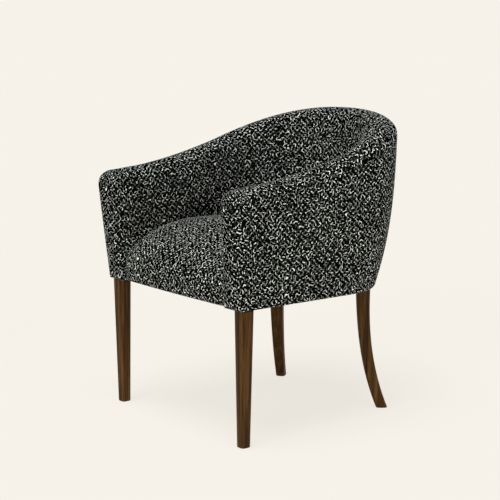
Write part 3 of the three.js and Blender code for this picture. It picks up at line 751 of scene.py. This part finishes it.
def seat_seam(point):
    x, y, z = point
    if z < FRONT_HELD or abs(x) > seat_half(z) - SIDE_BAND:
        return True
    return y - feet_line > seat_back(x / seat_half(z), z) - BACK_BAND


def beside_arms(point):
    half = seat_half(point.z)
    x = min(max(point.x, -half), half)
    return Vector((x, min(point.y, feet_line + seat_back(min(abs(x) / half, 1), point.z)), point.z))


SEAT_GRID = 128
seat_lines = {}


def seat_knot(across, along):
    return seat_point(round(across * SEAT_GRID), round(along * SEAT_GRID), SEAT_GRID, SEAT_GRID)


seat = cloth_panel("seat_cover_cloth", SEAT_GRID, SEAT_GRID, seat_knot)
tidy_shell(seat)
pad_out(seat, seat_seam, cap=0.0035, spare=0.012, limit=beside_arms)
finish_cover(seat, "seat_cover")

# %% [markdown]
# ## Arm fronts
# Each arm ends in a padded panel on a plywood board. Its cover wraps round the edges of the
# board, so the panel is modelled as a sleeve that starts at the board, goes over the rounded
# edge and closes along the middle of the face, which swells a little.

# %% Outline of an arm front
PAD_PLANE = PAD_BACK - 0.0003
PAD_EDGE, PAD_TOP_ROUND, PAD_CROWN = 0.012, 0.022, 0.0025
PAD_DEPTH, PAD_LEAN = 0.0300, 0.0220
PAD_CLOSE_LOW, PAD_CLOSE_HIGH, PAD_FOLD = 0.038, 0.050, 0.038
ARM_TIP = spring_at(0) + ROLL_HEIGHT
# The outer side, the top and the inner side each take one run of the outline, the base the rest.
RUN, BASE_FROM, BASE_RUN = 0.3, 0.9, 0.1


def arm_edge(share):
    spring = spring_at(0)
    if share < RUN:
        level, through = mix(LEG_HEIGHT, spring, share / RUN), 0
    elif share < 2 * RUN:
        angle = (share - RUN) / RUN * pi
        point = wall_point(0, spring, (1 - cos(angle)) / 2)
        return point.x, spring + ROLL_HEIGHT * sin(angle)
    elif share < BASE_FROM:
        level, through = mix(spring, LEG_HEIGHT, (share - 2 * RUN) / RUN), 1
    else:
        level, through = LEG_HEIGHT, 1 - (share - BASE_FROM) / BASE_RUN
    return wall_point(0, level, through).x, level


def arm_face(level):
    return -(PAD_DEPTH + PAD_LEAN * (level - LEG_HEIGHT) / (ARM_TOP - LEG_HEIGHT))


print("arm front", round(ARM_TIP, 4), "m high")

# %% Sleeve of an arm front
def arm_front_point(share, t):
    x, level = arm_edge(share)
    middle, half = half_width(level) - arm_wall(level) / 2, arm_wall(level) / 2
    angle = clamp(t / 0.5) * pi / 2
    draw = 1 - cos(angle)
    height = clamp((level - LEG_HEIGHT) / (ARM_TIP - LEG_HEIGHT))
    z = level + draw * mix(PAD_EDGE, -PAD_TOP_ROUND, height)
    x = middle + (x - middle) * (1 - draw * PAD_EDGE / half)
    inward = clamp((t - 0.5) / 0.5)
    z = mix(z, min(max(z, LEG_HEIGHT + PAD_CLOSE_LOW), ARM_TIP - PAD_CLOSE_HIGH), inward)
    x = mix(x, half_width(z) - arm_wall(z) / 2, inward)
    return placed(x, mix(PAD_PLANE, arm_face(z), sin(angle)) - PAD_CROWN * sin(inward * pi / 2), z)


# The cloth lies flat on the face and is folded back along the sides.
def folded_back(point):
    level = min(max(point.z, LEG_HEIGHT + PAD_FOLD), ARM_TIP - PAD_FOLD)
    away = Vector((point.x - half_width(point.z) + arm_wall(point.z) / 2, point.z - level))
    depth = max(point.y - feet_line - arm_face(point.z), 0)
    return Vector((point.x, point.z)) + away.normalized() * depth


def at_board(point):
    return point.y > feet_line + PAD_PLANE - SIDE_BAND


def arm_front_panel(side, name):
    panel = cloth_panel("arm_front_panel_" + name, 160, 24, arm_front_point)
    cloth = panel.data.uv_layers["cloth"].data
    for loop in panel.data.loops:
        cloth[loop.index].uv = folded_back(panel.data.vertices[loop.vertex_index].co)
    take(panel)
    bpy.ops.object.mode_set(mode="EDIT")
    bpy.ops.mesh.select_all(action="SELECT")
    if side < 0:
        bpy.ops.transform.mirror(constraint_axis=(True, False, False), center_override=(0, 0, 0))
    bpy.ops.mesh.remove_doubles(threshold=0.00002)
    bpy.ops.mesh.select_all(action="DESELECT")
    bpy.ops.mesh.select_non_manifold()
    bpy.ops.mesh.edge_face_add()
    bpy.ops.object.mode_set(mode="OBJECT")
    tidy_shell(panel)
    pad_out(panel, at_board, cap=0.004, spare=0.005)
    smooth(panel, 60)
    dress(panel, squiggle_cloth, "upholstery", "arm_front_pad_" + name)


for side, name in ((1, "left"), (-1, "right")):
    arm_front_panel(side, name)

# %% [markdown]
# ## Walnut legs
# A leg grows from its foot. The foot is drawn as a rounded square, extruded upwards a little
# at a time and widened as it goes, which gives the taper. Bending a finished leg would squeeze
# its section, so a rear leg is moved along the sabre curve between the steps and turned
# outwards at the end.

# %% Walnut finish
# Walnut, planed and oiled. Oil leaves it nearly matt, with a deep brown that changes in long
# bands. Its pores are dark dashes, drawn wider than the real 0.2 mm so that they show at all.
BAND_WIDTH, BAND_LENGTH = 0.0077, 0.385
PORE_WIDTH, PORE_LENGTH = 0.0011, 0.055


def grain(tree, width, length):
    place = add_node(tree, "TexCoord", {}).outputs["Object"]
    fine = (1 / width, 1 / width, 1 / length)
    return add_node(tree, "VectorMath", {0: place, 1: fine}, operation="MULTIPLY")


def oil_walnut():
    finish, tree, shader = new_finish("oiled_walnut", Specular_IOR_Level=0.06)
    along = {"Vector": grain(tree, BAND_WIDTH, BAND_LENGTH), "Scale": 1.0, "Detail": 5.0, "Distortion": 0.4}
    figure = add_node(tree, "ValToRGB", {0: add_node(tree, "TexNoise", along)})
    darkest, lightest = figure.color_ramp.elements
    darkest.position, darkest.color = 0.30, paint("#251809")
    lightest.position, lightest.color = 0.72, paint("#674722")
    figure.color_ramp.elements.new(0.5).color = paint("#483015")
    dashes = {"Vector": grain(tree, PORE_WIDTH, PORE_LENGTH), "Scale": 1.0, "Detail": 2.0}
    pores = add_node(tree, "TexNoise", dashes)
    open_pores = add_node(tree, "MapRange", {0: pores, 1: 0.36, 2: 0.5, 3: 0.45, 4: 1.0})
    tones = {0: open_pores, 6: paint("#1c1106"), 7: figure}
    wood = add_node(tree, "Mix", tones, data_type="RGBA").outputs[2]
    polish = add_node(tree, "MapRange", {0: open_pores, 3: 0.7, 4: 0.42})
    bump = add_node(tree, "Bump", {"Height": open_pores, "Strength": 0.3, "Distance": 0.0002})
    plug(tree, shader, Base_Color=wood, Roughness=polish, Normal=bump)
    return finish


walnut = oil_walnut()
print(walnut.name, len(walnut.node_tree.nodes), "nodes")

# %% Grow a leg from its foot
FOOT_LEVEL, LEG_TOP, FOOT_ROUND = 0.0009, 0.3357, 0.0024


def draw_foot(name, half_across, half_deep, corner):
    let_go()
    bpy.ops.mesh.primitive_plane_add(size=2, location=(0, 0, 0))
    leg = named(name)
    bpy.ops.object.mode_set(mode="EDIT")
    bpy.ops.transform.resize(value=(half_across, half_deep, 1), center_override=(0, 0, 0))
    bpy.ops.mesh.bevel(offset=corner, segments=8, affect="VERTICES", profile=0.5)
    return leg


def grow(step, centre, widen_across, widen_deep):
    bpy.ops.mesh.extrude_region_move(TRANSFORM_OT_translate={"value": step})
    bpy.ops.transform.resize(value=(widen_across, widen_deep, 1), center_override=centre)


print("legs grow from", FOOT_LEVEL, "to", LEG_TOP)

# %% Sections of the four legs
SHOULDER, FRONT_FOOT = 0.0198, 0.0137
REAR_FOOT, REAR_FOOT_DEEP, REAR_SHOULDER_DEEP = 0.0127, 0.0149, 0.0187
SWEEP, SWEEP_BEND = 0.0537, 2.53


def rounding_levels():
    return [FOOT_LEVEL + FOOT_ROUND * (1 - cos(step / 5 * pi / 2)) for step in range(1, 5)]


def leg_levels(steps):
    low = FOOT_LEVEL + FOOT_ROUND
    return [low + (LEG_TOP - low) * step / steps for step in range(steps + 1)]


def front_half(level):
    half = mix(FRONT_FOOT, SHOULDER, level / LEG_HEIGHT)
    return half, half


def rear_half(level):
    share = level / LEG_HEIGHT
    return mix(REAR_FOOT, SHOULDER, share), mix(REAR_FOOT_DEEP, REAR_SHOULDER_DEEP, share ** 3)


def sabre(level):
    return Vector((0, SWEEP * (1 - level / LEG_HEIGHT) ** SWEEP_BEND, level))


def standing(toe_in):
    return lambda level: Vector((toe_in * level, 0, level))


def grow_leg(name, half_at, centre_at, corner, steps):
    across, deep = half_at(FOOT_LEVEL)
    size = (across - FOOT_ROUND, deep - FOOT_ROUND)
    leg = draw_foot(name, *size, corner - FOOT_ROUND * 0.6)
    centre = centre_at(FOOT_LEVEL)
    bpy.ops.transform.translate(value=centre)
    for level in rounding_levels() + leg_levels(steps):
        below = max(FOOT_LEVEL + FOOT_ROUND - level, 0)
        short = FOOT_ROUND - sqrt(FOOT_ROUND ** 2 - below ** 2)
        wider, above = [half - short for half in half_at(level)], centre_at(level)
        grow(above - centre, above, wider[0] / size[0], wider[1] / size[1])
        centre, size = above, wider
    return leg


print("rear foot sweeps out", round(sabre(0).y, 4), "m")

# %% Pockets for the bolt and the glide
BOLT_RADIUS, BOLT_END = 0.0044, 0.2995
GLIDE_TOP, GLIDE_POCKET = 0.0033, 0.0093
NAIL_RADIUS, NAIL_END = 0.0019, 0.0195


def drill(piece, x, y, radius, low, high):
    let_go()
    middle = (x, y, (low + high) / 2)
    bpy.ops.mesh.primitive_cylinder_add(vertices=24, radius=radius, depth=high - low, location=middle)
    bit = named("drill_bit")
    apply_modifier(piece, "BOOLEAN", object=bit, operation="DIFFERENCE", solver="EXACT")
    bpy.data.objects.remove(bit)


def middle_of(node):
    low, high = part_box(node)
    return (low + high) / 2


def finish_leg(leg, name, turn, top):
    bpy.ops.mesh.select_all(action="SELECT")
    if turn:
        bpy.ops.transform.rotate(value=turn, orient_axis="Z", center_override=(0, 0, 0))
    bpy.ops.transform.translate(value=top)
    bpy.ops.object.mode_set(mode="OBJECT")
    tidy_shell(leg)
    bolt, glide = middle_of(name.replace("leg", "leg_bolt")), middle_of(name.replace("leg", "glide"))
    drill(leg, bolt.x, bolt.y, BOLT_RADIUS, BOLT_END, 0.34)
    drill(leg, glide.x, glide.y, GLIDE_POCKET, -0.001, GLIDE_TOP)
    drill(leg, glide.x, glide.y, NAIL_RADIUS, 0.002, NAIL_END)
    smooth(leg, 35)
    dress(leg, walnut, "walnut", name)


print("front bolt at", middle_of("front_leg_bolt_left"))

# %% The four legs
HEADING = radians(36.27)
TOE_IN = 0.0027
FRONT_CORNER, REAR_CORNER = 0.0088, 0.0078

for side, name in ((1, "left"), (-1, "right")):
    foot = middle_of("front_glide_" + name)
    line = standing(side * TOE_IN / LEG_HEIGHT)
    front = grow_leg("front_leg_walnut_" + name, front_half, line, FRONT_CORNER, 4)
    finish_leg(front, "front_leg_" + name, 0, (foot.x, foot.y, 0))
    foot = middle_of("rear_glide_" + name)
    rear = grow_leg("rear_leg_walnut_" + name, rear_half, sabre, REAR_CORNER, 18)
    out = Vector((side * sin(HEADING), cos(HEADING), 0)) * sabre(0).y
    finish_leg(rear, "rear_leg_" + name, side * HEADING, (foot.x - out.x, foot.y - out.y, 0))

# %% [markdown]
# ## Glides
# A moulded nylon glide with a nail is driven into each foot. A cylinder gets its rounded lower
# edge from a bevel, and its top face is inset and pulled up into the nail. All four are alike,
# so one is modelled, and each foot gets a copy with its own mesh.

# %% Nylon finish
# Moulded nylon, dyed brown to hide under the foot. It has a dull gloss, and the floor scuffs it
# in patches of a few millimetres.
SCUFF = 0.0024


def mould_nylon():
    finish, tree, shader = new_finish("moulded_nylon", Roughness=0.5)
    place = add_node(tree, "TexCoord", {}).outputs["Object"]
    scuffs = add_node(tree, "TexNoise", {"Vector": place, "Scale": 1 / SCUFF, "Detail": 3.0})
    two_tones(tree, shader, scuffs, "#2b2014", "#44321f", scuffs, 0.2, 0.0002)
    return finish


nylon = mould_nylon()
print(nylon.name)

# %% Glides
GLIDE_RADIUS, GLIDE_HEIGHT, GLIDE_EDGE = 0.009, 0.003, 0.0008
NAIL_INSET, NAIL_SHANK, NAIL_POINT, NAIL_TIP = 0.0075, 0.0128, 0.003, 0.1


def select_faces(piece, wanted):
    bpy.ops.object.mode_set(mode="OBJECT")
    for face in piece.data.polygons:
        face.select = wanted(face)
    bpy.ops.object.mode_set(mode="EDIT")


def mould_glide():
    let_go()
    bpy.ops.mesh.primitive_cylinder_add(vertices=32, radius=GLIDE_RADIUS, depth=GLIDE_HEIGHT)
    glide = named("glide_to_copy")
    bpy.ops.object.mode_set(mode="EDIT")
    bpy.ops.mesh.select_mode(type="FACE")
    select_faces(glide, lambda face: face.normal.z < -0.9)
    bpy.ops.mesh.bevel(offset=GLIDE_EDGE, segments=3, affect="EDGES")
    select_faces(glide, lambda face: face.normal.z > 0.9)
    bpy.ops.mesh.inset(thickness=NAIL_INSET)
    bpy.ops.mesh.extrude_region_move(TRANSFORM_OT_translate={"value": (0, 0, NAIL_SHANK)})
    bpy.ops.mesh.extrude_region_move(TRANSFORM_OT_translate={"value": (0, 0, NAIL_POINT)})
    bpy.ops.transform.resize(value=(NAIL_TIP, NAIL_TIP, 1))
    bpy.ops.object.mode_set(mode="OBJECT")
    smooth(glide, 40)
    return glide


def drive_in(glide, node):
    foot = middle_of(node)
    piece = own_copy(node + "_nylon", glide)
    take(piece)
    bpy.ops.object.mode_set(mode="EDIT")
    bpy.ops.mesh.select_all(action="SELECT")
    bpy.ops.transform.translate(value=(foot.x, foot.y, GLIDE_HEIGHT / 2))
    bpy.ops.object.mode_set(mode="OBJECT")
    dress(piece, nylon, "nylon", node)


CORNERS = ("front_{}_left", "front_{}_right", "rear_{}_left", "rear_{}_right")
glide_to_copy = mould_glide()
for corner in CORNERS:
    drive_in(glide_to_copy, corner.format("glide"))
bpy.data.objects.remove(glide_to_copy)

# %% [markdown]
# ## Webbing
# Woven straps carry the seat foam. Five run front to back and four from side to side, over
# and under each other, stapled to the tops of the rails. Flat strips would cut through each
# other, so a strap is a narrow panel that follows the weave in soft waves.

# %% Webbing finish
# Elastic webbing, woven from black and brown yarn over rubber cords. It is dull, and its ribs
# and cords show as a fine check. A wave texture runs through one band in pi / 10 of its scale.
RIB, CORD = 0.0029, 0.002


def weave_webbing():
    finish, tree, shader = new_finish("woven_webbing", Roughness=0.85, Sheen_Weight=0.2)
    cloth = add_node(tree, "UVMap", {}, uv_map="cloth")
    across = {"Vector": cloth, "Scale": pi / 10 / RIB, "Distortion": 0.4}
    ribs = add_node(tree, "TexWave", across, bands_direction="Y").outputs["Fac"]
    along = {"Vector": cloth, "Scale": pi / 10 / CORD, "Distortion": 0.3}
    cords = add_node(tree, "TexWave", along, bands_direction="X").outputs["Fac"]
    weave = add_node(tree, "Math", {0: ribs, 1: cords}, operation="MULTIPLY")
    two_tones(tree, shader, weave, "#1d1c19", "#4a4740", weave, 0.6, 0.0006)
    return finish


webbing = weave_webbing()
print(webbing.name)

# %% Straps
WEB_LOW, WEB_HIGH, WEB_THICK = 0.3978, 0.3997, 0.0014
WEB_REACH, WEB_SLOPE, WEB_STEP = 0.0475, 0.0225, 0.006
STRAPS_ALONG = [middle_of(f"web_lengthwise_{i}").x for i in range(1, 6)]
STRAPS_ACROSS = [middle_of(f"web_crosswise_{i}").y for i in range(1, 5)]


def strap_level(place, crossings, over):
    for index, crossing in enumerate(crossings):
        if (index % 2 == 0) == over:
            near = clamp((WEB_REACH - abs(place - crossing)) / WEB_SLOPE)
            if near > 0:
                return mix(WEB_LOW, WEB_HIGH, near * near * (3 - 2 * near))
    return WEB_LOW


def strap(node, lengthwise, over):
    low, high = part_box(node)
    steps = round((high - low)[1 if lengthwise else 0] / WEB_STEP)
    crossings = STRAPS_ACROSS if lengthwise else STRAPS_ALONG

    def point(s, t):
        if lengthwise:
            y = mix(low.y, high.y, t)
            return Vector((mix(low.x, high.x, s), y, strap_level(y, crossings, over) + WEB_THICK / 2))
        x = mix(low.x, high.x, t)
        return Vector((x, mix(high.y, low.y, s), strap_level(x, crossings, over) + WEB_THICK / 2))

    piece = cloth_panel(node + "_woven", 8, steps, point)
    apply_modifier(piece, "SOLIDIFY", thickness=WEB_THICK, offset=-1)
    smooth(piece, 40)
    dress(piece, webbing, "webbing", node)


for i in range(5):
    strap(f"web_lengthwise_{i + 1}", True, i % 2 == 0)
for i in range(4):
    strap(f"web_crosswise_{i + 1}", False, i % 2 == 1)

# %% [markdown]
# ## Stuffing
# The foam is never seen when the chair stands, but it is when the chair is taken apart. The
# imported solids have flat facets, so copies are remeshed into small even cells and smoothed.

# %% Foam finish
# Polyurethane foam, cut from the block. It has no gloss at all, its open cells give a fine
# grain, and it yellows in broad patches.
FOAM_CELL, FOAM_PATCH = 0.0015, 0.07


def cut_foam():
    finish, tree, shader = new_finish("cut_foam", Roughness=1.0)
    place = add_node(tree, "TexCoord", {}).outputs["Object"]
    cells = add_node(tree, "TexVoronoi", {"Vector": place, "Scale": 1 / FOAM_CELL})
    patches = add_node(tree, "TexNoise", {"Vector": place, "Scale": 1 / FOAM_PATCH, "Detail": 4.0})
    two_tones(tree, shader, patches, "#d9c88f", "#efe6c2", cells, 0.6, 0.0008)
    return finish


foam = cut_foam()
print(foam.name)

# %% Stuffing pieces
REMESH_CELL = 0.006


def stuffing(name, node):
    piece = own_copy(name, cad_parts[node])
    tidy_shell(piece, 0.0001)
    apply_modifier(piece, "REMESH", mode="VOXEL", voxel_size=REMESH_CELL)
    apply_modifier(piece, "SMOOTH", factor=0.5, iterations=3)
    smooth(piece, 60)
    dress(piece, foam, "foam", node)


stuffing("tub_stuffing", "tub_foam")
stuffing("seat_stuffing", "seat_foam")

# %% [markdown]
# ## Dust cloth
# A thin black cloth closes the underside inside the hems. It is laid as a panel in the plan of
# the tub, like a cover, so that its cut size is known, and a hole for each bolt is drilled last.

# %% Dust cloth finish
# Spunbond polypropylene. It is dull black with cloudy fibres, pressed together in small dots.
DOT, CLOUD = 0.0011, 0.0042


def press_dust_cloth():
    finish, tree, shader = new_finish("spunbond_cloth", Roughness=0.95)
    cloth = add_node(tree, "UVMap", {}, uv_map="cloth")
    pressed = {"Vector": cloth, "Scale": 1 / DOT, "Randomness": 0.15}
    dots = add_node(tree, "TexVoronoi", pressed)
    fibres = add_node(tree, "TexNoise", {"Vector": cloth, "Scale": 1 / CLOUD, "Detail": 5.0})
    two_tones(tree, shader, fibres, "#0c0c0e", "#26262a", dots, 0.4, 0.0003)
    return finish


spunbond = press_dust_cloth()
print(spunbond.name)

# %% Dust cloth
DUST_LEVEL = (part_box("dust_cover")[0].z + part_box("dust_cover")[1].z) / 2
DUST_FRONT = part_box("dust_cover")[0].y - feet_line
DUST_THICK, DUST_GAP, BOLT_HOLE = 0.0008, 0.0003, 0.0046


def dust_point(s, t):
    half, bow = [size(LEG_HEIGHT) - HEM - DUST_GAP for size in (half_width, bow_depth)]
    reach = sin(pi / 2 * (1 - 2 * s))
    back = ARM_LENGTH + bow * max(1 - abs(reach) ** BOW_POWER, 0) ** (1 / BOW_POWER)
    return placed(half * reach, mix(DUST_FRONT, back, t), DUST_LEVEL)


dust = cloth_panel("dust_cloth_black", 60, 60, dust_point)
for loop in dust.data.loops:
    dust.data.uv_layers["cloth"].data[loop.index].uv = dust.data.vertices[loop.vertex_index].co.xy
apply_modifier(dust, "SOLIDIFY", thickness=DUST_THICK, offset=0)
for corner in CORNERS:
    bolt = middle_of(corner.format("leg_bolt"))
    drill(dust, bolt.x, bolt.y, BOLT_HOLE, DUST_LEVEL - 0.002, DUST_LEVEL + 0.002)
dress(dust, spunbond, "dust_cloth", "dust_cover")

# %% [markdown]
# ## Frame timber and steel
# The rails, posts and blocks are beech, the shell and the arm boards are birch plywood, and
# the legs hang on zinc-plated bolts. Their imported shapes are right, so they only get a finish.

# %% Timber finishes
# Beech, sawn and left bare: pale and dull, with broad grain and short darker flecks. Birch
# plywood is made the same way, but shows its plies of 1.4 mm as thin level stripes.
FLECK_WIDTH, FLECK_LENGTH = 0.0014, 0.011


def saw_timber(name, dark, light, width, length):
    finish, tree, shader = new_finish(name, Roughness=0.65)
    lines = {"Vector": grain(tree, width, length), "Scale": 1.0, "Detail": 5.0}
    figure = add_node(tree, "TexNoise", lines)
    short = {"Vector": grain(tree, FLECK_WIDTH, FLECK_LENGTH), "Scale": 1.0, "Detail": 1.0}
    flecks = add_node(tree, "TexNoise", short)
    rays = add_node(tree, "MapRange", {0: flecks, 1: 0.6, 2: 0.68})
    tone = add_node(tree, "Mix", {0: figure, 6: dark, 7: light}, data_type="RGBA").outputs[2]
    flecked = add_node(tree, "Mix", {0: rays, 6: tone, 7: paint("#a87c4e")}, data_type="RGBA").outputs[2]
    bump = add_node(tree, "Bump", {"Height": figure, "Strength": 0.2, "Distance": 0.0004})
    plug(tree, shader, Base_Color=flecked, Normal=bump)
    return finish


print("plies of 1.4 mm, flecks of", FLECK_WIDTH * 1000, "mm")

# %% Steel finish
# Steel, zinc-plated: a metal, a little cloudy from the plating, with a thread of 1.6 mm pitch.
CLOUDING, PITCH = 0.0033, 0.0016


def plate_steel():
    finish, tree, shader = new_finish("zinc_plated_steel", Metallic=1.0)
    place = add_node(tree, "TexCoord", {}).outputs["Object"]
    spangle = add_node(tree, "TexNoise", {"Vector": place, "Scale": 1 / CLOUDING, "Detail": 3.0})
    gloss = add_node(tree, "MapRange", {0: spangle, 3: 0.28, 4: 0.45})
    turns = {"Vector": place, "Scale": pi / 10 / PITCH}
    thread = add_node(tree, "TexWave", turns, bands_direction="Z").outputs["Fac"]
    plug(tree, shader, Roughness=gloss)
    two_tones(tree, shader, spangle, "#a9aaa6", "#cfcfc9", thread, 0.7, 0.0006)
    return finish


timber = {
    "beech": saw_timber("sawn_beech", paint("#b98f5f"), paint("#d9b98c"), 0.11, 0.017),
    "plywood": saw_timber("birch_plywood", paint("#c2a06e"), paint("#e0c79a"), 0.17, 0.0014),
    "steel": plate_steel(),
}
print(sorted(timber))

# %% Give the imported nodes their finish
for node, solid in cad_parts.items():
    packed = solid.data.materials[0].name.split(".")[0]
    if packed in timber:
        solid.material_slots[0].link = "DATA"
        solid.material_slots[0].material = timber[packed]
        print(node, "is", timber[packed].name)
